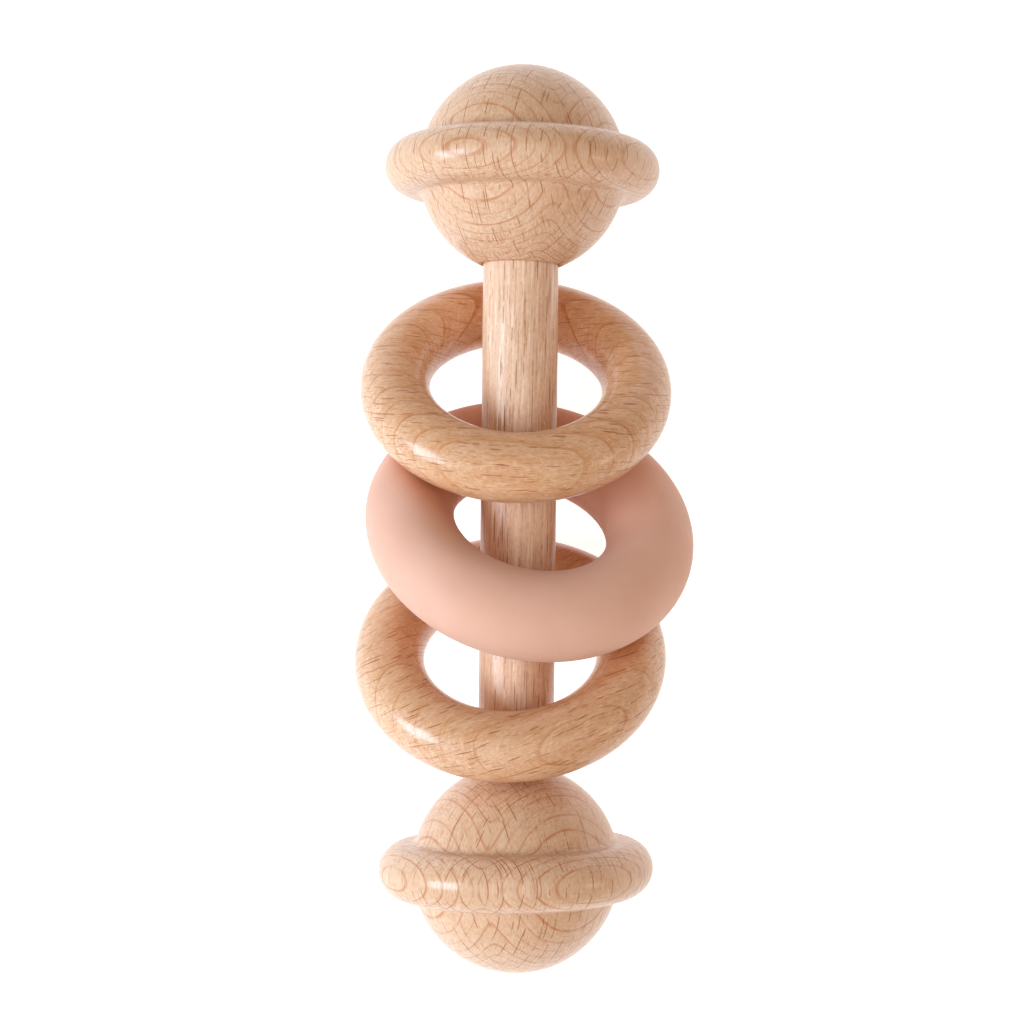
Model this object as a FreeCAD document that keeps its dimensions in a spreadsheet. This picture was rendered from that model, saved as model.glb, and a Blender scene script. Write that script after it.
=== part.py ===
"""Baby rattle: a beech handle rod with a turned, flanged ball glued on each end and three loose rings on it.

The rattle lies on a table. +Z is up, the rod runs along Y with the upper knob at +Y, and the origin is the
middle of the rod's axis. The two flanges carry the rod, and each loose ring leans: its far edge stands on
the table and its near edge rests on top of the rod.
"""

import FreeCAD, Part
import os

import Sketcher

# Driving dimensions, in millimetres and degrees.
SIZES = {
    "rod_diameter": 12.0,
    "rod_end_chamfer": 0.8,
    "knob_spacing": 111.0,  # between the two ball centres
    "ball_diameter": 33.0,
    "flange_diameter": 43.6,
    "flange_thickness": 8.6,
    "flange_root": 8.0,  # where the flange starts, inside the ball
    "flange_fillet": 1.2,
    "socket_depth": 18.0,  # from the ball's pole
    "socket_glue_gap": 0.05,  # radial
    "socket_glue_pocket": 1.0,  # past the rod's end
    "socket_mouth_chamfer": 0.4,
    "wood_ring_bore": 27.6,
    "wood_ring_width": 11.1,
    "wood_ring_thickness": 10.6,
    "soft_ring_bore": 24.8,
    "soft_ring_section": 14.0,
    "rod_clearance": 0.2,  # between a leaning ring and the top of the rod
    "upper_ring_place": 21.1,  # along the rod, from its middle
    "upper_ring_side": -0.95,  # of the touch with the rod, across it
    "upper_ring_yaw": -1.7,
    "soft_ring_place": -1.3,
    "soft_ring_side": -0.9,
    "soft_ring_yaw": -12.3,
    "lower_ring_place": -21.8,
    "lower_ring_side": -0.55,
    "lower_ring_yaw": 2.1,
}

# Worked-out sizes, as formulas of the driving dimensions.
DERIVED = {
    "rod_radius": "rod_diameter / 2",
    "ball_radius": "ball_diameter / 2",
    "flange_radius": "flange_diameter / 2",
    "half_flange": "flange_thickness / 2",
    "socket_radius": "rod_radius + socket_glue_gap",
    "rod_length": "knob_spacing - ball_diameter + 2 * (socket_depth - socket_glue_pocket)",
    "wood_ring_radius": "(wood_ring_bore + wood_ring_width) / 2",
    "wood_corner": "wood_ring_thickness / 2",
    "wood_flat": "wood_ring_width - wood_ring_thickness",
    "soft_ring_radius": "(soft_ring_bore + soft_ring_section) / 2",
    "soft_half": "soft_ring_section / 2",
    # A leaning ring reaches from the table, flange_radius below the axis, to the top of the rod.
    "lean_height": "rod_radius + rod_clearance + flange_radius",
    "wood_lean": "acos(lean_height / (2 * wood_ring_radius)) / 1 deg",
    "soft_lean": "acos(lean_height / (2 * soft_ring_radius)) / 1 deg",
    "wood_reach": "wood_corner + wood_flat / 2 * cos(wood_lean * 1 deg)",
    "wood_height": "wood_reach + lean_height / 2 - flange_radius",
    "soft_height": "soft_half + lean_height / 2 - flange_radius",
}

FULL_TURN = 360.0


def make_sheet(doc):
    """The spreadsheet that every feature reads."""
    sheet = doc.addObject("Spreadsheet::Sheet", "Sizes")
    row = 1
    for name, value in SIZES.items():
        sheet.set(f"A{row}", name)
        sheet.set(f"B{row}", str(value))
        sheet.setAlias(f"B{row}", name)
        row += 1
    doc.recompute()
    for name, formula in DERIVED.items():
        sheet.set(f"A{row}", name)
        sheet.set(f"B{row}", f"={formula}")
        sheet.setAlias(f"B{row}", name)
        row += 1
        doc.recompute()
    return sheet


def make_body(doc, label):
    body = doc.addObject("PartDesign::Body", label)
    body.Label = label
    return body


def make_sketch(body, name, role="XY_Plane"):
    """A sketch on one of the body's own origin planes."""
    sketch = body.newObject("Sketcher::SketchObject", name)
    plane = next(p for p in body.Origin.OriginFeatures if p.Role == role)
    sketch.AttachmentSupport = [(plane, "")]
    sketch.MapMode = "FlatFace"
    return sketch


def bind(sketch, kind, name, formula, *where):
    """Adds a dimension to a sketch and binds it to the sheet."""
    start = abs(eval_number(sketch.Document, formula))
    index = sketch.addConstraint(Sketcher.Constraint(kind, *where, start))
    sketch.renameConstraint(index, name)
    sketch.setExpression(f"Constraints.{name}", formula)


def eval_number(doc, formula):
    """The value of a formula of sheet cells, written as Sizes.name."""
    value = doc.Sizes.evalExpression(formula)
    return float(getattr(value, "Value", value))


def size(doc, name):
    return float(doc.Sizes.get(name))


def point(x, y):
    return FreeCAD.Vector(x, y, 0)


def add_polygon(sketch, corners):
    """Closed straight outline whose corners are joined to each other."""
    count = len(corners)
    for i in range(count):
        sketch.addGeometry(Part.LineSegment(corners[i], corners[(i + 1) % count]))
    for i in range(count):
        sketch.addConstraint(Sketcher.Constraint("Coincident", i, 2, (i + 1) % count, 1))


def revolve(body, kind, name, sketch):
    """A full Revolution or Groove about the sketch's vertical axis."""
    feature = body.newObject(kind, name)
    feature.Profile = sketch
    feature.ReferenceAxis = (sketch, ["V_Axis"])
    feature.Angle = FULL_TURN
    body.Document.recompute()
    return feature


def circles_at(feature, height, radius, slack=0.05):
    """Names of the feature's circular edges about Y at a height and with a radius."""
    found = []
    for number, edge in enumerate(feature.Shape.Edges, 1):
        if edge.Degenerated or not isinstance(edge.Curve, Part.Circle):
            continue
        curve = edge.Curve
        same_height = abs(abs(curve.Center.y) - abs(height)) < slack
        if same_height and abs(curve.Radius - radius) < slack:
            found.append(f"Edge{number}")
    return found


def dress(body, kind, name, base, edges, size_property, formula):
    """A Fillet or Chamfer on some edges of the last feature."""
    if not edges:
        raise RuntimeError(f"{name}: no edges found")
    feature = body.newObject(kind, name)
    feature.Base = (base, edges)
    feature.setExpression(size_property, formula)
    body.Document.recompute()
    return feature


def make_rod(doc):
    """The handle: a plain dowel, chamfered where it goes into the knobs."""
    body = make_body(doc, "handle_rod")
    outline = make_sketch(body, "rod_outline", "XZ_Plane")
    outline.addGeometry(Part.Circle(point(0, 0), FreeCAD.Vector(0, 0, 1), size(doc, "rod_radius")))
    outline.addConstraint(Sketcher.Constraint("Coincident", 0, 3, -1, 1))
    bind(outline, "Diameter", "across", "Sizes.rod_diameter", 0)
    pad = body.newObject("PartDesign::Pad", "rod_pad")
    pad.Profile = outline
    pad.SideType = "Symmetric"
    pad.setExpression("Length", "Sizes.rod_length")
    doc.recompute()
    ends = circles_at(pad, size(doc, "rod_length") / 2, size(doc, "rod_radius"))
    dress(body, "PartDesign::Chamfer", "rod_ends", pad, ends, "Size", "Sizes.rod_end_chamfer")
    return body


def add_ball(body):
    """The ball: a half disc turned about Y."""
    doc = body.Document
    radius = size(doc, "ball_radius")
    sketch = make_sketch(body, "ball_outline")
    half = Part.Arc(point(0, -radius), point(radius, 0), point(0, radius))
    sketch.addGeometry(half)
    sketch.addGeometry(Part.LineSegment(point(0, radius), point(0, -radius)))
    sketch.addConstraint(Sketcher.Constraint("Coincident", 0, 2, 1, 1))
    sketch.addConstraint(Sketcher.Constraint("Coincident", 0, 1, 1, 2))
    sketch.addConstraint(Sketcher.Constraint("Coincident", 0, 3, -1, 1))
    sketch.addConstraint(Sketcher.Constraint("PointOnObject", 0, 1, -2))
    sketch.addConstraint(Sketcher.Constraint("PointOnObject", 0, 2, -2))
    bind(sketch, "Radius", "ball", "Sizes.ball_radius", 0)
    return revolve(body, "PartDesign::Revolution", "ball", sketch)


def add_flange(body):
    """The flange round the ball's middle, with a half-round rim."""
    doc = body.Document
    root, half = size(doc, "flange_root"), size(doc, "half_flange")
    rim = size(doc, "flange_radius") - half
    sketch = make_sketch(body, "flange_outline")
    sketch.addGeometry(Part.LineSegment(point(root, -half), point(rim, -half)))
    sketch.addGeometry(Part.Arc(point(rim, -half), point(rim + half, 0), point(rim, half)))
    sketch.addGeometry(Part.LineSegment(point(rim, half), point(root, half)))
    sketch.addGeometry(Part.LineSegment(point(root, half), point(root, -half)))
    sketch.addConstraint(Sketcher.Constraint("Tangent", 0, 2, 1, 1))
    sketch.addConstraint(Sketcher.Constraint("Tangent", 1, 2, 2, 1))
    sketch.addConstraint(Sketcher.Constraint("Coincident", 2, 2, 3, 1))
    sketch.addConstraint(Sketcher.Constraint("Coincident", 3, 2, 0, 1))
    sketch.addConstraint(Sketcher.Constraint("Horizontal", 0))
    sketch.addConstraint(Sketcher.Constraint("Vertical", 3))
    sketch.addConstraint(Sketcher.Constraint("PointOnObject", 1, 3, -1))
    bind(sketch, "Radius", "rim", "Sizes.half_flange", 1)
    bind(sketch, "DistanceX", "rim_centre", "Sizes.flange_radius - Sizes.half_flange", -1, 1, 1, 3)
    bind(sketch, "DistanceX", "root", "Sizes.flange_root", -1, 1, 3, 1)
    return revolve(body, "PartDesign::Revolution", "flange", sketch)


def add_socket(body):
    """The blind hole that the rod is glued into, open towards -Y."""
    doc = body.Document
    ball, depth = size(doc, "ball_radius"), size(doc, "socket_depth")
    radius = size(doc, "socket_radius")
    sketch = make_sketch(body, "socket_outline")
    floor, mouth = depth - ball, -ball
    corners = [point(0, mouth), point(radius, mouth), point(radius, floor), point(0, floor)]
    add_polygon(sketch, corners)
    for line in (0, 2):
        sketch.addConstraint(Sketcher.Constraint("Horizontal", line))
    for line in (1, 3):
        sketch.addConstraint(Sketcher.Constraint("Vertical", line))
    sketch.addConstraint(Sketcher.Constraint("PointOnObject", 0, 1, -2))
    bind(sketch, "DistanceX", "socket_radius", "Sizes.socket_radius", 0, 1, 0, 2)
    bind(sketch, "DistanceY", "socket_mouth", "Sizes.ball_radius", 0, 1, -1, 1)
    bind(sketch, "DistanceY", "socket_depth", "Sizes.socket_depth", 1, 1, 1, 2)
    return revolve(body, "PartDesign::Groove", "socket", sketch)


def make_knob(doc, label, turn, place):
    """A ball and flange turned from one blank, with the rod's socket."""
    body = make_body(doc, label)
    add_ball(body)
    flange = add_flange(body)
    ball_radius, half = size(doc, "ball_radius"), size(doc, "half_flange")
    root_radius = (ball_radius**2 - half**2) ** 0.5
    roots = circles_at(flange, half, root_radius)
    blend = dress(
        body, "PartDesign::Fillet", "flange_blend", flange, roots, "Radius", "Sizes.flange_fillet"
    )
    socket = add_socket(body)
    if socket.Shape.Volume >= blend.Shape.Volume:
        raise RuntimeError(f"{label}: the socket cut nothing")
    socket_radius = size(doc, "socket_radius")
    mouth_height = (ball_radius**2 - socket_radius**2) ** 0.5
    mouth = circles_at(socket, mouth_height, socket_radius)
    dress(
        body, "PartDesign::Chamfer", "socket_mouth", socket, mouth, "Size", "Sizes.socket_mouth_chamfer"
    )
    body.setExpression("Placement", f"placement(vector(0; {place}; 0); rotationz({turn}))")
    return body


def lean_placement(name, lean, height, radius):
    """Puts a ring's top point over the rod: leaning about X by lean, then turned about Z by its yaw."""
    yaw = f"{name}_yaw"
    aside = f"Sizes.{radius} * sin(Sizes.{lean} * 1 deg) * sin(Sizes.{yaw} * 1 deg)"
    centre = f"vector(Sizes.{name}_side - {aside}; Sizes.{name}_place; Sizes.{height})"
    turn = f"rotationz(Sizes.{yaw}) * rotationx(Sizes.{lean})"
    return f"placement({centre}; {turn})"


def make_wood_ring(doc, label):
    """A ring routed from a board with a full round-over on both edges, leaving a narrow flat on each face."""
    body = make_body(doc, label)
    radius, corner = size(doc, "wood_ring_radius"), size(doc, "wood_corner")
    flat = size(doc, "wood_flat") / 2
    inner, outer = radius - flat, radius + flat
    sketch = make_sketch(body, "ring_section")
    sketch.addGeometry(Part.LineSegment(point(inner, -corner), point(outer, -corner)))
    sketch.addGeometry(
        Part.Arc(point(outer, -corner), point(outer + corner, 0), point(outer, corner))
    )
    sketch.addGeometry(Part.LineSegment(point(outer, corner), point(inner, corner)))
    sketch.addGeometry(
        Part.Arc(point(inner, corner), point(inner - corner, 0), point(inner, -corner))
    )
    for i in range(4):
        sketch.addConstraint(Sketcher.Constraint("Tangent", i, 2, (i + 1) % 4, 1))
    sketch.addConstraint(Sketcher.Constraint("Horizontal", 0))
    sketch.addConstraint(Sketcher.Constraint("PointOnObject", 1, 3, -1))
    bind(sketch, "Radius", "round_over", "Sizes.wood_corner", 1)
    bind(
        sketch,
        "DistanceX",
        "inner_centre",
        "Sizes.wood_ring_radius - Sizes.wood_flat / 2",
        -1,
        1,
        3,
        3,
    )
    bind(sketch, "DistanceX", "flat", "Sizes.wood_flat", 0, 1, 0, 2)
    revolve(body, "PartDesign::Revolution", "ring", sketch)
    place = lean_placement(label, "wood_lean", "wood_height", "wood_ring_radius")
    body.setExpression("Placement", place)
    return body


def make_soft_ring(doc, label):
    """A solid moulded silicone ring of round section."""
    body = make_body(doc, label)
    sketch = make_sketch(body, "ring_section")
    centre = point(size(doc, "soft_ring_radius"), 0)
    sketch.addGeometry(Part.Circle(centre, FreeCAD.Vector(0, 0, 1), size(doc, "soft_half")))
    sketch.addConstraint(Sketcher.Constraint("PointOnObject", 0, 3, -1))
    bind(sketch, "Radius", "section", "Sizes.soft_half", 0)
    bind(sketch, "DistanceX", "centre", "Sizes.soft_ring_radius", -1, 1, 0, 3)
    revolve(body, "PartDesign::Revolution", "ring", sketch)
    place = lean_placement("soft_ring", "soft_lean", "soft_height", "soft_ring_radius")
    body.setExpression("Placement", place)
    return body


def check(doc, bodies):
    """Stops before anything is written if a feature failed or a shape isn't one valid solid."""
    for item in doc.Objects:
        if "Invalid" in item.State or "Error" in item.State:
            raise RuntimeError(f"{item.Label} failed: {item.State}")
    for body in bodies:
        shape = body.Shape
        if shape.isNull() or not shape.isValid() or len(shape.Solids) != 1:
            raise RuntimeError(f"{body.Label} isn't one valid solid")
        box = shape.BoundBox
        print(
            f"{body.Label}: volume {shape.Volume:.0f} mm3, "
            f"x {box.XMin:.2f} to {box.XMax:.2f}, y {box.YMin:.2f} to {box.YMax:.2f}, "
            f"z {box.ZMin:.2f} to {box.ZMax:.2f}"
        )


def main():
    doc = FreeCAD.newDocument("baby_rattle")
    make_sheet(doc)
    half = "Sizes.knob_spacing / 2"
    bodies = [
        make_rod(doc),
        make_knob(doc, "upper_knob", 0, half),
        make_knob(doc, "lower_knob", 180, f"-{half}"),
        make_wood_ring(doc, "upper_ring"),
        make_soft_ring(doc, "silicone_ring"),
        make_wood_ring(doc, "lower_ring"),
    ]
    doc.recompute()
    check(doc, bodies)
    os.makedirs("parts", exist_ok=True)
    for body in bodies:
        body.Shape.exportStep(f"parts/{body.Label}.step")


main()
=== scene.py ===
import math

import bmesh
import bpy
from mathutils import Euler, Matrix, Vector, noise


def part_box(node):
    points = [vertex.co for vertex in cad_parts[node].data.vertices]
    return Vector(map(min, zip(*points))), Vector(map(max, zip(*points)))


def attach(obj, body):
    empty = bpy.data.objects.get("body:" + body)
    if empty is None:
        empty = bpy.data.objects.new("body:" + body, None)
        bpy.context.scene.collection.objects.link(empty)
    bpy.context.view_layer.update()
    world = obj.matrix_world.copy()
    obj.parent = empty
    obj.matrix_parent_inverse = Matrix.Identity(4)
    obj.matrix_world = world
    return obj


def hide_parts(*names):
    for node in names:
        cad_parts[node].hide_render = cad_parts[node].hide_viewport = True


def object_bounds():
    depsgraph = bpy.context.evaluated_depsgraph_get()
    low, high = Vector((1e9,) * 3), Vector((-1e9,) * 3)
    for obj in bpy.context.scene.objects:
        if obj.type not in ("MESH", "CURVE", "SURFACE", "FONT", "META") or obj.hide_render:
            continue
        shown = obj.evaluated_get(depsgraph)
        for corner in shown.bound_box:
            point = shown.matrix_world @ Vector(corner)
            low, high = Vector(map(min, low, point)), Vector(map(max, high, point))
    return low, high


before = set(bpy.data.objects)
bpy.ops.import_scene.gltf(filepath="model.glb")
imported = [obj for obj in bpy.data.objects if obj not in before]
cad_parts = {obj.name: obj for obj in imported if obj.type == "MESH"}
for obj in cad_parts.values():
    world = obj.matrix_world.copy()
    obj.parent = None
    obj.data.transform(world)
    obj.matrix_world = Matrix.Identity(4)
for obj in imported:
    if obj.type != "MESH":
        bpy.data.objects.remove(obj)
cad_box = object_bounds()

MM = 0.001  # one millimetre, in metres
TURN = 2 * math.pi

# Shape of the pieces, in millimetres, as the CAD has them.
ROD_RADIUS = 6.0
ROD_END_CHAMFER = 0.8
BALL_RADIUS = 16.5
FLANGE_HALF = 4.3
FLANGE_FILLET = 1.2
SOCKET_RADIUS = 6.05
SOCKET_DEPTH = 18.0
MOUTH_CHAMFER = 0.4
WOOD_RING_RADIUS = 19.35
WOOD_CORNER = 5.3
WOOD_FLAT = 0.25  # half the flat on a wooden ring's face
SOFT_RING_RADIUS = 19.4
SOFT_HALF = 7.0
ROD_CLEARANCE = 0.2
RING_YAWS = {"upper_ring": -1.7, "silicone_ring": -12.3, "lower_ring": 2.1}
KNOB_TILTS = {"upper_knob": -0.6, "lower_knob": 1.2}  # as glued, a little off true, in degrees

KNOB_STEPS = 160
ROD_STEPS = 96
RING_STEPS = 192
SECTION_STEPS = 56
BALL_STEPS = 26
FILLET_STEPS = 6
RIM_STEPS = 16
ROD_BANDS = 60
WAVE_SCALE = 0.09  # of the hand-sanded unevenness, per millimetre, so a wave is about 11 mm long
WAVES = {"rod": 0.015, "knob": 0.02, "wood": 0.03, "silicone": 0.02}  # its height, in millimetres

# Camera and picture.
CAMERA_HEIGHT = 345.0  # above the rod's axis
CAMERA_OFFSET = (-0.4, -2.6)  # from the middle of the rod
CAMERA_ROLL = 0.6  # in degrees
PIXELS_PER_MM = 6.285  # at the rod's axis
PICTURE = 1024
SHIFT_PIXELS = (-3.5, 23)
SENSOR = 36.0
FLOOR_HALF = 12.0  # in metres, so its end stays out of low views

# Wood rays: half width, half length and share, for the large ones and the small ones.
RAY_REACH = 14.0  # half the depth of a ray, out from the pith
RAY_CELL = 0.32  # radius of a ray in the scaled space, where a cell is 1 across
ROD_RAYS = ((0.115, 3.2, 0.45), (0.080, 1.5, 0.55))
KNOB_RAYS = ((0.085, 2.3, 0.34), (0.060, 0.9, 0.40))
RING_RAYS = ((0.090, 1.5, 0.55), (0.065, 0.8, 0.80))
KNOB_ROWS = (1.9, 0.10)  # spacing and half width of rays in rows
RING_ROWS = (1.6, 0.10)
FAMILY_BLEND = 3.0  # how softly two families of growth rings meet, in millimetres
YEAR_SPREAD = 0.35  # how far a year's width strays, as a share of the period
LATE_WIDTH = 0.12  # width of the dark line that ends a year, in millimetres

# Pale and warm wood, growth line and ray.
ROD_TONES = ((0.830, 0.605, 0.455), (0.730, 0.455, 0.300), (0.47, 0.190, 0.085), (0.30, 0.075, 0.025))
KNOB_TONES = ((0.740, 0.505, 0.355), (0.640, 0.385, 0.230), (0.49, 0.160, 0.045), (0.36, 0.098, 0.024))
RING_TONES = ((0.755, 0.490, 0.325), (0.640, 0.335, 0.165), (0.46, 0.155, 0.050), (0.34, 0.088, 0.022))
SILICONE_TONES = ((0.755, 0.450, 0.345), (0.725, 0.418, 0.312), (0.80, 0.52, 0.42))  # body, cloud, speck
FLOOR_TONES = ((0.54, 0.54, 0.54), (0.56, 0.56, 0.56))
FLOOR_GLOW = 0.84

SPECULAR = 0.25  # low, so the white table is not mirrored at grazing angles
FINE_BUMP = 0.000015  # depths of relief, in metres
MESH_BUMP = 0.00001
SPECK_BUMP = 0.000006
SHADE_REACH = 0.012  # how near another surface has to be for the painted shade to deepen the colour, in metres

# Painted shade: what multiplies a colour in corners and near contacts, where a piece shades itself.
ROD_SHADE = (0.98, 0.88, 0.80)
KNOB_SHADE = (0.96, 0.87, 0.78)
RING_SHADE = (0.82, 0.60, 0.42)
SILICONE_SHADE = (0.88, 0.60, 0.42)

WORLD_COLOUR = (1.0, 0.82, 0.64)
WORLD_STRENGTH = 0.28
# Spot and size in metres, power in watts, colour.
LIGHTS = {
    "key_left": ((-0.71, -0.10, 0.40), (0.34, 0.40), 6.2, (0.67, 0.845, 1.0)),
    "top_soft": ((-0.06, -0.10, 0.80), (0.9, 0.9), 3.4, (1.0, 0.985, 0.96)),
    "low_front": ((-0.20, -0.66, 0.42), (0.7, 0.5), 0.9, (0.90, 0.96, 1.0)),
    "fill_right": ((0.70, -0.16, 0.34), (0.14, 0.26), 0.5, (1.0, 0.80, 0.62)),
}

noise.seed_set(1)  # unseeded, noise_vector starts from the clock


def mm_box(node):
    low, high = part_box(node)
    return low / MM, high / MM


def mm_centre(node):
    low, high = mm_box(node)
    return (low + high) / 2


# ---------------------------------------------------------------- shapes


def arc(centre, radius, start, end, steps):
    """Points of an arc in the section plane, from one angle to another, in degrees."""
    points = []
    for i in range(steps + 1):
        angle = math.radians(start + (end - start) * i / steps)
        points.append((centre[0] + radius * math.cos(angle), centre[1] + radius * math.sin(angle)))
    return points


def finish_mesh(name, mesh, amount, seed):
    """Closes a new mesh: hand-sanded unevenness, metres, outward normals and smooth shading."""
    for vertex in mesh.verts:
        place = vertex.co * WAVE_SCALE + Vector((seed, 0, 0))
        vertex.co += noise.noise_vector(place) * amount
        vertex.co *= MM
    bmesh.ops.recalc_face_normals(mesh, faces=mesh.faces)
    data = bpy.data.meshes.new(name)
    mesh.to_mesh(data)
    mesh.free()
    for face in data.polygons:
        face.use_smooth = True
    piece = bpy.data.objects.new(name, data)
    bpy.context.scene.collection.objects.link(piece)
    return piece


def lathe(profile, steps, place):
    """Turns a section of (radius, height) points about Y. Points on the axis become one vertex each."""
    mesh = bmesh.new()
    rows = []
    for radius, height in profile:
        if radius < 1e-6:
            rows.append([mesh.verts.new(place @ Vector((0, height, 0)))])
            continue
        row = []
        for i in range(steps):
            angle = TURN * i / steps
            spot = Vector((radius * math.sin(angle), height, radius * math.cos(angle)))
            row.append(mesh.verts.new(place @ spot))
        rows.append(row)
    for low, high in zip(rows, rows[1:]):
        for i in range(steps):
            j = (i + 1) % steps
            if len(low) == 1:
                mesh.faces.new((low[0], high[i], high[j]))
            elif len(high) == 1:
                mesh.faces.new((low[i], low[j], high[0]))
            else:
                mesh.faces.new((low[i], low[j], high[j], high[i]))
    return mesh


def knob_profile(flange_radius):
    """The ball, flange and blind socket of a knob, from the outer pole to the socket's floor."""
    rim = flange_radius - FLANGE_HALF
    blend_y = FLANGE_HALF + FLANGE_FILLET
    blend_x = math.sqrt((BALL_RADIUS + FLANGE_FILLET) ** 2 - blend_y**2)
    meet = math.degrees(math.atan2(blend_y, blend_x))
    mouth = SOCKET_RADIUS + MOUTH_CHAMFER
    mouth_angle = math.degrees(math.acos(mouth / BALL_RADIUS))
    half = arc((0, 0), BALL_RADIUS, 90, meet, BALL_STEPS)
    half[0] = (0.0, BALL_RADIUS)
    half += arc((blend_x, blend_y), FLANGE_FILLET, 180 + meet, 270, FILLET_STEPS)[1:]
    half += arc((rim, 0), FLANGE_HALF, 90, 0, RIM_STEPS)
    profile = list(half)
    profile += [(x, -y) for x, y in reversed(half[:-1]) if x > mouth]
    profile.append((mouth, -BALL_RADIUS * math.sin(math.radians(mouth_angle))))
    lip = -math.sqrt(BALL_RADIUS**2 - SOCKET_RADIUS**2) + MOUTH_CHAMFER
    floor = SOCKET_DEPTH - BALL_RADIUS
    profile += [(SOCKET_RADIUS, lip), (SOCKET_RADIUS, lip / 2), (SOCKET_RADIUS, floor), (0.0, floor)]
    return profile


def make_knob(node, outward):
    """A turned knob. outward is +1 for the upper one and -1 for the lower one."""
    low, high = mm_box(node)
    pole = high.y if outward > 0 else low.y
    centre = Vector((0, pole - outward * BALL_RADIUS, 0))
    pivot = centre - Vector((0, outward * SOCKET_DEPTH / 2, 0))
    tilt = Matrix.Rotation(math.radians(KNOB_TILTS[node]), 4, "Z")
    place = Matrix.Translation(pivot) @ tilt @ Matrix.Translation(centre - pivot)
    if outward < 0:
        place = place @ Matrix.Rotation(math.pi, 4, "Z")
    mesh = lathe(knob_profile((high.x - low.x) / 2), KNOB_STEPS, place)
    return finish_mesh(node + "_turned", mesh, WAVES["knob"], 3.0 + outward)


def make_rod():
    """The dowel, with a chamfer on each hidden end."""
    low, high = mm_box("handle_rod")
    chamfer = ROD_END_CHAMFER
    profile = [(0.0, low.y), (ROD_RADIUS - chamfer, low.y), (ROD_RADIUS, low.y + chamfer)]
    length = high.y - low.y - 2 * chamfer
    profile += [(ROD_RADIUS, low.y + chamfer + length * i / ROD_BANDS) for i in range(1, ROD_BANDS)]
    profile += [(ROD_RADIUS, high.y - chamfer), (ROD_RADIUS - chamfer, high.y), (0.0, high.y)]
    mesh = lathe(profile, ROD_STEPS, Matrix.Identity(4))
    return finish_mesh("handle_rod_dowel", mesh, WAVES["rod"], 9.0)


def ring_lean(ring_radius):
    """How far a ring leans over, when it stands on the table and rests on the rod."""
    low, high = mm_box("upper_knob")
    table = (high.x - low.x) / 2
    return math.acos((ROD_RADIUS + ROD_CLEARANCE + table) / (2 * ring_radius))


def ring_place(node, ring_radius):
    """A ring's own frame, with its centre line along +Y before it leans."""
    turn = Euler((ring_lean(ring_radius), 0, math.radians(RING_YAWS[node])), "XYZ")
    return Matrix.Translation(mm_centre(node)) @ turn.to_matrix().to_4x4()


def make_ring(node, finish, ring_radius, section, amount, seed):
    """Sweeps a closed section of (radius, height) points round the ring's centre line."""
    place = ring_place(node, ring_radius)
    mesh = bmesh.new()
    rows = []
    for i in range(RING_STEPS):
        angle = TURN * i / RING_STEPS
        row = []
        for radius, height in section:
            spot = Vector((radius * math.sin(angle), height, radius * math.cos(angle)))
            row.append(mesh.verts.new(place @ spot))
        rows.append(row)
    count = len(section)
    for i in range(RING_STEPS):
        here, after = rows[i], rows[(i + 1) % RING_STEPS]
        for k in range(count):
            j = (k + 1) % count
            mesh.faces.new((here[k], here[j], after[j], after[k]))
    return finish_mesh(f"{node}_{finish}", mesh, amount, seed)


def wood_section():
    """A full round-over on both edges, with a narrow flat between them on each face."""
    half = SECTION_STEPS // 2
    outer = arc((WOOD_RING_RADIUS + WOOD_FLAT, 0), WOOD_CORNER, -90, 90, half)
    inner = arc((WOOD_RING_RADIUS - WOOD_FLAT, 0), WOOD_CORNER, 90, 270, half)
    return outer + inner


def soft_section():
    return arc((SOFT_RING_RADIUS, 0), SOFT_HALF, 0, 360, SECTION_STEPS)[:-1]


# ---------------------------------------------------------------- materials


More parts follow.
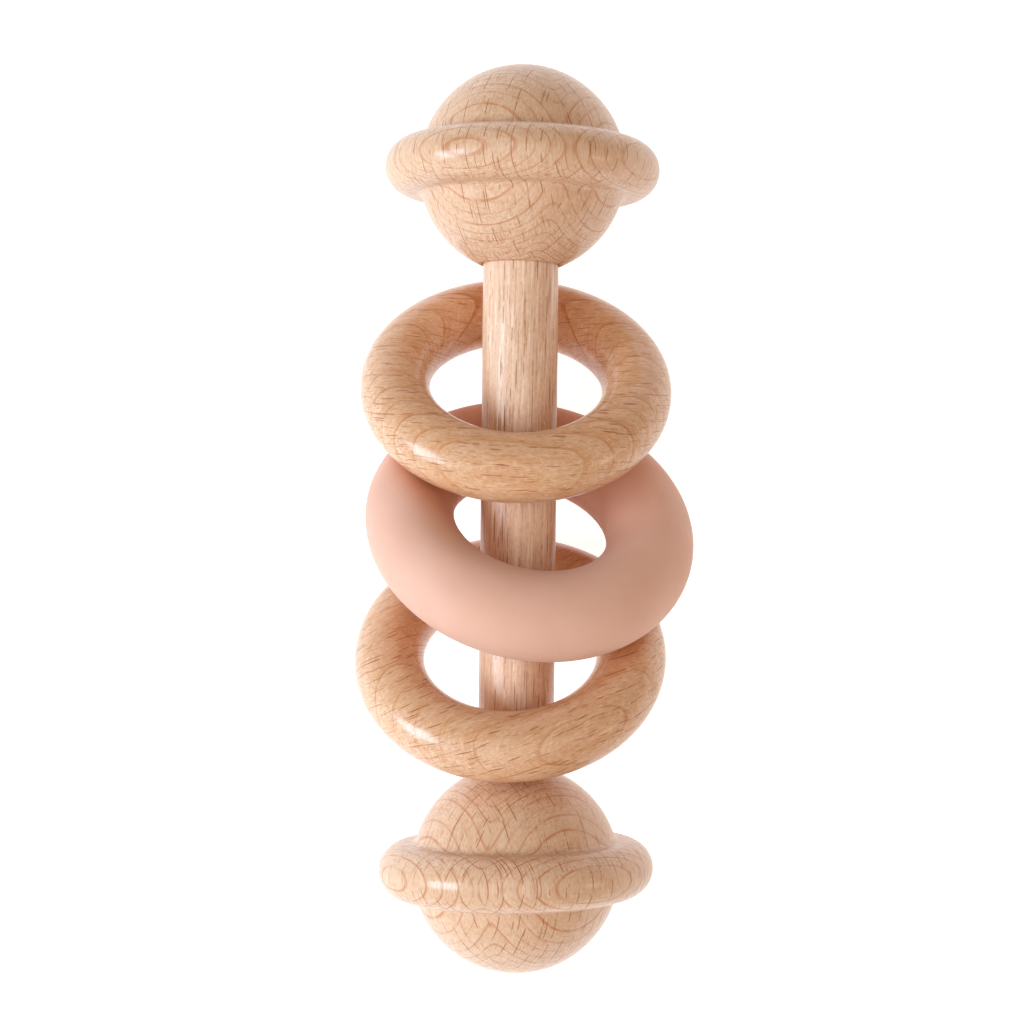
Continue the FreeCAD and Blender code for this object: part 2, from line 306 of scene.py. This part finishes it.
class Tree:
    """Short calls that add nodes to one material."""

    def __init__(self, name):
        self.material = bpy.data.materials.new(name)
        self.material.use_nodes = True
        self.nodes = self.material.node_tree.nodes
        self.links = self.material.node_tree.links
        self.nodes.clear()

    def add(self, kind, inputs=None, **settings):
        node = self.nodes.new(kind)
        for key, value in settings.items():
            setattr(node, key, value)
        for key, value in (inputs or {}).items():
            if isinstance(value, bpy.types.NodeSocket):
                self.links.new(value, node.inputs[key])
            else:
                node.inputs[key].default_value = value
        return node

    def math(self, operation, *values, clamp=False):
        inputs = dict(enumerate(values))
        return self.add("ShaderNodeMath", inputs, operation=operation, use_clamp=clamp).outputs[0]

    def dot(self, vector, axis):
        inputs = {0: vector, 1: tuple(axis)}
        return self.add("ShaderNodeVectorMath", inputs, operation="DOT_PRODUCT").outputs["Value"]

    def vector(self, x, y, z):
        return self.add("ShaderNodeCombineXYZ", {0: x, 1: y, 2: z}).outputs[0]

    def scaled(self, value, factor):
        return self.math("MULTIPLY", value, factor)

    def ramp(self, value, low, high, out_low=0.0, out_high=1.0, smooth=True):
        kind = "SMOOTHSTEP" if smooth else "LINEAR"
        inputs = {"Value": value, "From Min": low, "From Max": high}
        inputs.update({"To Min": out_low, "To Max": out_high})
        return self.add("ShaderNodeMapRange", inputs, interpolation_type=kind).outputs["Result"]

    def noise(self, vector, scale, detail=2.0, roughness=0.5):
        inputs = {"Vector": vector, "Scale": scale, "Detail": detail, "Roughness": roughness}
        return self.add("ShaderNodeTexNoise", inputs).outputs["Fac"]

    def cells(self, vector, randomness=1.0):
        inputs = {"Vector": vector, "Scale": 1.0, "Randomness": randomness}
        return self.add("ShaderNodeTexVoronoi", inputs, feature="F1")

    def mix(self, factor, first, second, blend="MIX"):
        node = self.add("ShaderNodeMix", data_type="RGBA", blend_type=blend)
        for key, value in ((0, factor), (6, first), (7, second)):
            if isinstance(value, bpy.types.NodeSocket):
                self.links.new(value, node.inputs[key])
            elif key == 0:
                node.inputs[key].default_value = value
            else:
                node.inputs[key].default_value = (*value, 1.0)
        return node.outputs[2]

    def bump(self, height, distance, strength=1.0, normal=None):
        inputs = {"Height": height, "Distance": distance, "Strength": strength}
        if normal is not None:
            inputs["Normal"] = normal
        return self.add("ShaderNodeBump", inputs).outputs["Normal"]

    def painted_shade(self, colour, shade):
        """Painted shade: deepens a colour in corners and near contacts, where light has bounced off the
        piece before.
        """
        node = self.add("ShaderNodeAmbientOcclusion", {"Distance": SHADE_REACH}, samples=6)
        opened = self.ramp(node.outputs["AO"], 0.10, 0.80)
        deep = self.mix(1.0, colour, shade, "MULTIPLY")
        return self.mix(opened, deep, colour)

    def surface(self, **inputs):
        shader = self.add("ShaderNodeBsdfPrincipled", {k.replace("_", " "): v for k, v in inputs.items()})
        out = self.add("ShaderNodeOutputMaterial")
        self.links.new(shader.outputs[0], out.inputs["Surface"])
        return self.material


class Growth:
    """One family of growth rings: the way out from the pith, how far off it is, and where it starts."""

    def __init__(self, out, pith=60.0, shift=0.0):
        self.out = Vector(out).normalized()
        self.pith = pith
        self.shift = shift


def growth_coordinates(tree, place, fibre, family):
    """Distance out from the pith and distance round it, both in millimetres."""
    side = fibre.cross(family.out).normalized()
    outward = tree.math("ADD", tree.dot(place, family.out), family.pith)
    around = tree.dot(place, side)
    radius = tree.math("SQRT", tree.math("ADD", tree.math("MULTIPLY", outward, outward),
                                         tree.math("MULTIPLY", around, around)))
    angle = tree.math("ARCTAN2", around, outward)
    distance = tree.math("SUBTRACT", radius, family.pith - family.shift)
    return distance, tree.scaled(angle, family.pith)


def ray_flecks(tree, grain, half_width, half_length, share, seed):
    """Medullary rays: thin sheets that run out from the pith, dark spindles where they are cut across."""
    distance, around, along = grain
    x = tree.math("ADD", tree.scaled(around, RAY_CELL / half_width), seed)
    y = tree.scaled(along, RAY_CELL / half_length)
    z = tree.scaled(distance, RAY_CELL / RAY_REACH)
    cells = tree.cells(tree.vector(x, y, z))
    inside = tree.ramp(cells.outputs["Distance"], RAY_CELL, RAY_CELL * 0.55)
    pick = tree.add("ShaderNodeSeparateColor", {0: cells.outputs["Color"]}).outputs[0]
    chosen = tree.ramp(pick, 1.0 - share, 1.0 - share * 0.3)
    return tree.math("MULTIPLY", inside, chosen)


def ray_sheets(tree, grain, spacing, half_width, seed):
    """Rays in rows: evenly spread sheets that come and go along the fibre, a fine comb on end grain."""
    distance, around, along = grain
    turns = tree.math("ADD", tree.scaled(around, 1 / spacing), seed)
    sheet = tree.math("FLOOR", turns)
    jitter = tree.noise(tree.vector(tree.scaled(sheet, 3.7), seed, 0.5), 1.0, 0.0)
    middle = tree.math("ADD", tree.scaled(jitter, 0.8), 0.1)
    side = tree.math("SUBTRACT", tree.math("FRACT", turns), middle)
    gap = tree.scaled(tree.math("ABSOLUTE", side), spacing)
    inside = tree.ramp(gap, half_width, half_width * 0.4)
    piece_place = (tree.scaled(along, 0.42), tree.scaled(distance, 0.10), tree.scaled(sheet, 5.3))
    pieces = tree.noise(tree.vector(*piece_place), 1.0, 1.0, 0.5)
    return tree.math("MULTIPLY", inside, tree.ramp(pieces, 0.46, 0.58))


def flake_fade(tree, normal, fibre, family):
    """Where a surface runs along the sheets of the rays, they are faint flakes and not dark lines."""
    side = fibre.cross(family.out).normalized()
    facing = tree.math("ABSOLUTE", tree.dot(normal, side))
    return tree.ramp(facing, 0.86, 0.97, 1.0, 0.15)


def blend_grain(tree, first, second, share):
    """Mixes two values, with share 1 for the first."""
    other = tree.math("SUBTRACT", 1.0, share)
    return tree.math("ADD", tree.math("MULTIPLY", first, share), tree.math("MULTIPLY", second, other))


def beech(name, centre, fibre, families, tones, shade, period, seed, line_strength, wander,
          ray_sizes=RING_RAYS, row_sizes=RING_ROWS, ray_strength=0.9, row_strength=0.6, mesh_strength=1.0,
          season_strength=0.14, streak_strength=1.0, streak_scale=5.0, stretch=0.22, band_scale=0.5,
          gloss=0.5, coat_rough=0.19):
    """Oiled beech. The grain is solid: it runs through the piece, and every surface cuts it."""
    pale, warm, line, ray = tones
    tree = Tree(name)
    fibre = Vector(fibre).normalized()
    families = [Growth(f.out - fibre * f.out.dot(fibre), f.pith, f.shift) for f in families]
    coords = tree.add("ShaderNodeTexCoord")
    shifted = tree.add("ShaderNodeVectorMath", {0: coords.outputs["Object"], 1: tuple(centre * MM)},
                       operation="SUBTRACT").outputs[0]
    place = tree.add("ShaderNodeVectorMath", {0: shifted, "Scale": 1 / MM}, operation="SCALE").outputs[0]

    # The fibres wander a little.
    along = tree.dot(place, fibre)
    drift = tree.add("ShaderNodeTexNoise", {"Vector": place, "Scale": 0.06, "Detail": 2.0}).outputs["Color"]
    push = tree.add("ShaderNodeVectorMath", {0: drift, 1: (0.5, 0.5, 0.5)}, operation="SUBTRACT").outputs[0]
    push = tree.add("ShaderNodeVectorMath", {0: push, "Scale": wander}, operation="SCALE").outputs[0]
    bent = tree.add("ShaderNodeVectorMath", {0: place, 1: push}, operation="ADD").outputs[0]

    pairs = [growth_coordinates(tree, bent, fibre, f) for f in families]
    distance, around = pairs[0]
    large_rays, small_rays = ray_sizes
    near = (distance, around, along)
    rays = ray_flecks(tree, near, *large_rays, seed)
    small = ray_flecks(tree, near, *small_rays, seed + 31.0)
    rows = ray_sheets(tree, near, *row_sizes, seed)
    flakes = flake_fade(tree, coords.outputs["Normal"], fibre, families[0])
    if len(pairs) == 2:
        far_distance, far_around = pairs[1]
        share = tree.ramp(tree.math("SUBTRACT", distance, far_distance), -1.5, 1.5)
        far = (far_distance, far_around, along)
        rays = blend_grain(tree, rays, ray_flecks(tree, far, *large_rays, seed + 7.0), share)
        rows = blend_grain(tree, rows, ray_sheets(tree, far, *row_sizes, seed + 13.0), share)
        small = blend_grain(tree, small, ray_flecks(tree, far, *small_rays, seed + 43.0), share)
        far_flakes = flake_fade(tree, coords.outputs["Normal"], fibre, families[1])
        flakes = blend_grain(tree, flakes, far_flakes, share)
        distance = tree.math("SMOOTH_MAX", distance, far_distance, FAMILY_BLEND)
        around = blend_grain(tree, around, far_around, share)
    rays = tree.math("MULTIPLY", rays, flakes)
    small = tree.math("MULTIPLY", small, flakes)
    rows = tree.math("MULTIPLY", rows, flakes)

    # Growth rings: uneven years, each ending in a thin darker line.
    uneven = tree.noise(tree.vector(tree.scaled(distance, 0.35), seed, 0.0), 1.0, 2.0)
    strayed = tree.math("ADD", distance, tree.scaled(uneven, YEAR_SPREAD * period))
    years = tree.scaled(strayed, 1 / period)
    phase = tree.math("FRACT", years)
    year = tree.math("FLOOR", years)
    weight = tree.noise(tree.vector(year, seed, 3.1), 1.7, 0.0)
    thin = LATE_WIDTH / period
    late = tree.math("MULTIPLY", tree.ramp(phase, 1.0 - 2.2 * thin, 1.0 - 0.9 * thin),
                     tree.ramp(phase, 1.0, 1.0 - 0.35 * thin))
    broken = tree.noise(tree.vector(tree.scaled(around, 0.5), tree.scaled(along, 0.15), year), 1.0, 3.0)
    late = tree.math("MULTIPLY", late, tree.ramp(weight, 0.25, 0.65, 0.30, 1.0))
    late = tree.math("MULTIPLY", late, tree.ramp(broken, 0.32, 0.55, 0.20, 1.0))
    season = tree.ramp(phase, 0.35, 1.0)

    # Fine fibre streaks, broader bands, and the fine mesh of ray sheets and vessels.
    across = (tree.scaled(around, streak_scale), tree.scaled(distance, 0.8 * streak_scale))
    streaks = tree.noise(tree.vector(*across, tree.scaled(along, stretch)), 1.0, 3.0, 0.65)
    band_place = tree.vector(tree.scaled(around, band_scale), tree.scaled(distance, band_scale),
                             tree.scaled(along, 0.03))
    bands = tree.noise(band_place, 1.0, 3.0, 0.55)
    sheet_place = (tree.scaled(around, 6.0), tree.scaled(distance, 0.9), tree.scaled(along, 1.2))
    sheets = tree.noise(tree.vector(*sheet_place), 1.0, 2.0, 0.6)
    vessel_place = (tree.scaled(around, 1.2), tree.scaled(distance, 6.0), tree.scaled(along, 1.2))
    vessels = tree.noise(tree.vector(*vessel_place), 1.0, 2.0, 0.6)

    # Side grain looks warmer than end grain, where the fine texture is stronger.
    facing = tree.math("ABSOLUTE", tree.dot(coords.outputs["Normal"], fibre))
    end_grain = tree.ramp(facing, 0.35, 0.95)

    band_tone = tree.scaled(tree.ramp(bands, 0.3, 0.7), 0.45)
    tone = tree.math("ADD", band_tone, tree.scaled(season, season_strength))
    tone = tree.math("ADD", tone, tree.ramp(end_grain, 0.0, 1.0, 0.34, -0.10, smooth=False), clamp=True)
    colour = tree.mix(tone, pale, warm)
    fine = tree.ramp(streaks, 0.32, 0.68, 0.0, 1.0, smooth=False)
    colour = tree.mix(tree.scaled(fine, 0.40 * streak_strength), colour, warm)
    dark = tree.ramp(streaks, 0.56, 0.74, smooth=False)
    colour = tree.mix(tree.scaled(dark, 0.38 * streak_strength), colour, line)
    light = tree.ramp(streaks, 0.45, 0.30, smooth=False)
    bright = tuple(min(0.95, c * 1.20) for c in pale)
    colour = tree.mix(tree.scaled(light, 0.50 * streak_strength), colour, bright)
    mesh_share = tree.math("ADD", tree.scaled(end_grain, 0.30 * mesh_strength), 0.20 * mesh_strength)
    for texture in (sheets, vessels):
        for start, end, shown in ((0.53, 0.70, line), (0.46, 0.32, bright)):
            part = tree.math("MULTIPLY", tree.ramp(texture, start, end), mesh_share)
            colour = tree.mix(part, colour, shown)
    colour = tree.mix(tree.scaled(late, line_strength), colour, line)
    colour = tree.mix(tree.scaled(small, 0.50 * ray_strength), colour, ray)
    colour = tree.mix(tree.scaled(rows, row_strength), colour, ray)
    colour = tree.mix(tree.scaled(rays, ray_strength), colour, ray)
    # Painted shade: the wood's colour deepens in corners and near contacts.
    colour = tree.painted_shade(colour, shade)

    rough = tree.ramp(streaks, 0.2, 0.8, 0.36, 0.52, smooth=False)
    rough = tree.math("ADD", rough, tree.scaled(rays, -0.05))
    normal = tree.bump(tree.math("SUBTRACT", tree.scaled(streaks, 0.6), rays), FINE_BUMP, 0.5)
    normal = tree.bump(sheets, MESH_BUMP, 0.4, normal)
    return tree.surface(Base_Color=colour, Roughness=rough, Normal=normal, Coat_Weight=gloss,
                        Coat_Roughness=coat_rough, IOR=1.5, Specular_IOR_Level=SPECULAR)


def silicone(name):
    """Matte moulded silicone, faintly cloudy, with a fine satin texture from the mould."""
    body, cloudy, specked = SILICONE_TONES
    tree = Tree(name)
    coords = tree.add("ShaderNodeTexCoord").outputs["Object"]
    cloud = tree.noise(coords, 90.0, 3.0)
    speck = tree.noise(coords, 2600.0, 2.0)
    grain = tree.noise(coords, 900.0, 2.0, 0.6)
    colour = tree.mix(tree.ramp(cloud, 0.35, 0.65), body, cloudy)
    colour = tree.mix(tree.scaled(tree.ramp(speck, 0.55, 0.85), 0.10), colour, specked)
    # Painted shade: the silicone's colour deepens in corners and near contacts.
    colour = tree.painted_shade(colour, SILICONE_SHADE)
    rough = tree.ramp(grain, 0.3, 0.7, 0.60, 0.72)
    normal = tree.bump(grain, FINE_BUMP, 0.5)
    normal = tree.bump(speck, SPECK_BUMP, 0.4, normal)
    return tree.surface(Base_Color=colour, Roughness=rough, Normal=normal, Subsurface_Weight=0.25,
                        Subsurface_Radius=(1.0, 0.45, 0.3), Subsurface_Scale=0.0025,
                        Sheen_Weight=0.06, Sheen_Roughness=0.5, Specular_IOR_Level=SPECULAR)


def floor_material():
    """A white lit table top, as used for small products, so shadows on it stay faint."""
    tree = Tree("floor_pale")
    coords = tree.add("ShaderNodeTexCoord").outputs["Object"]
    fine = tree.noise(coords, 400.0, 2.0)
    colour = tree.mix(fine, *FLOOR_TONES)
    return tree.surface(Base_Color=colour, Roughness=0.8, Specular_IOR_Level=0.1,
                        Emission_Color=(1.0, 1.0, 1.0, 1.0), Emission_Strength=FLOOR_GLOW)


def azimuth(degrees):
    """A direction across the rod, turned from straight up towards +X."""
    angle = math.radians(degrees)
    return Vector((math.sin(angle), 0, math.cos(angle)))


# ---------------------------------------------------------------- the object

rod = make_rod()
upper_knob = make_knob("upper_knob", 1)
lower_knob = make_knob("lower_knob", -1)
upper_ring = make_ring("upper_ring", "sanded", WOOD_RING_RADIUS, wood_section(), WAVES["wood"], 21.0)
lower_ring = make_ring("lower_ring", "sanded", WOOD_RING_RADIUS, wood_section(), WAVES["wood"], 47.0)
soft_ring = make_ring("silicone_ring", "moulded", SOFT_RING_RADIUS, soft_section(), WAVES["silicone"], 63.0)


def finish_piece(piece, node, body, material):
    piece.data.materials.append(material)
    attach(piece, body)
    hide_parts(node)


def ring_axis(node, *vector):
    """A direction given in a wooden ring's own frame, turned to where the ring lies."""
    return ring_place(node, WOOD_RING_RADIUS).to_3x3() @ Vector(vector)


rod_wood = beech("rod_beech", Vector((0, 0, 0)), (0.012, 1, 0.01), [Growth(azimuth(12), 70, 0.8)],
                 ROD_TONES, ROD_SHADE, period=3.2, seed=2.0, line_strength=0.35, wander=0.5,
                 ray_sizes=ROD_RAYS, streak_strength=2.2, streak_scale=2.3, stretch=0.08, band_scale=1.1,
                 gloss=0.4, coat_rough=0.30)

knob_look = {"ray_sizes": KNOB_RAYS, "row_sizes": KNOB_ROWS, "row_strength": 0.8, "mesh_strength": 1.3}
upper_centre = Vector((0, mm_box("upper_knob")[1].y - BALL_RADIUS, 0))
lower_centre = Vector((0, mm_box("lower_knob")[0].y + BALL_RADIUS, 0))
upper_wood = beech("upper_knob_beech", upper_centre, (0.02, 1, -0.03),
                   [Growth(azimuth(-25), 150), Growth(azimuth(62), 120, -0.6)],
                   KNOB_TONES, KNOB_SHADE, period=1.15, seed=5.0, line_strength=0.62, wander=0.9,
                   **knob_look)
lower_wood = beech("lower_knob_beech", lower_centre, (-0.03, 1, 0.02),
                   [Growth(azimuth(-62), 120, -0.4), Growth(azimuth(35), 150)],
                   KNOB_TONES, KNOB_SHADE, period=1.25, seed=17.0, line_strength=0.75, wander=0.9,
                   **knob_look)

upper_ring_wood = beech("upper_ring_beech", mm_centre("upper_ring"), ring_axis("upper_ring", 1, 0.02, 0),
                        [Growth(ring_axis("upper_ring", 0, 0.69, 0.72), 45)],
                        RING_TONES, RING_SHADE, period=2.4, seed=23.0, line_strength=0.7, wander=2.0,
                        ray_strength=0.8, mesh_strength=1.3, season_strength=0.5, gloss=0.65)
lower_ring_wood = beech("lower_ring_beech", mm_centre("lower_ring"), ring_axis("lower_ring", 1, 0, -0.5),
                        [Growth(ring_axis("lower_ring", 0.1, 0.75, 0.66), 60)],
                        RING_TONES, RING_SHADE, period=3.2, seed=29.0, line_strength=0.4, wander=2.4,
                        mesh_strength=1.2, season_strength=0.25, gloss=0.65)

finish_piece(rod, "handle_rod", "handle", rod_wood)
finish_piece(upper_knob, "upper_knob", "handle", upper_wood)
finish_piece(lower_knob, "lower_knob", "handle", lower_wood)
finish_piece(upper_ring, "upper_ring", "upper_ring", upper_ring_wood)
finish_piece(lower_ring, "lower_ring", "lower_ring", lower_ring_wood)
finish_piece(soft_ring, "silicone_ring", "silicone_ring", silicone("ring_silicone"))


# ---------------------------------------------------------------- floor, light and camera


def make_floor():
    mesh = bmesh.new()
    bmesh.ops.create_grid(mesh, x_segments=1, y_segments=1, size=FLOOR_HALF)
    data = bpy.data.meshes.new("floor")
    mesh.to_mesh(data)
    mesh.free()
    floor = bpy.data.objects.new("floor", data)
    floor.location.z = cad_box[0].z
    data.materials.append(floor_material())
    bpy.context.scene.collection.objects.link(floor)


def make_light(name, spot, size, power, colour):
    """A soft rectangular light that faces the object."""
    light = bpy.data.lights.new(name, "AREA")
    light.shape = "RECTANGLE"
    light.size, light.size_y = size
    light.energy = power
    light.color = colour
    holder = bpy.data.objects.new(name, light)
    holder.location = Vector(spot)
    holder.rotation_euler = Vector(spot).to_track_quat("Z", "Y").to_euler()
    bpy.context.scene.collection.objects.link(holder)


def make_world():
    world = bpy.data.worlds.new("studio")
    world.use_nodes = True
    background = world.node_tree.nodes["Background"]
    background.inputs["Color"].default_value = (*WORLD_COLOUR, 1.0)
    background.inputs["Strength"].default_value = WORLD_STRENGTH
    bpy.context.scene.world = world


def make_camera():
    """Straight above the rattle, with the upper knob at the top of the picture."""
    camera = bpy.data.cameras.new("camera")
    camera.sensor_width = SENSOR
    camera.lens = PIXELS_PER_MM * CAMERA_HEIGHT / PICTURE * SENSOR
    camera.shift_x = SHIFT_PIXELS[0] / PICTURE
    camera.shift_y = SHIFT_PIXELS[1] / PICTURE
    holder = bpy.data.objects.new("camera", camera)
    holder.location = Vector((*CAMERA_OFFSET, CAMERA_HEIGHT)) * MM
    holder.rotation_euler = (0, 0, math.radians(CAMERA_ROLL))
    bpy.context.scene.collection.objects.link(holder)
    bpy.context.scene.camera = holder


make_floor()
make_world()
for light_name, settings in LIGHTS.items():
    make_light(light_name, *settings)
make_camera()
bpy.context.scene.view_settings.view_transform = "Standard"
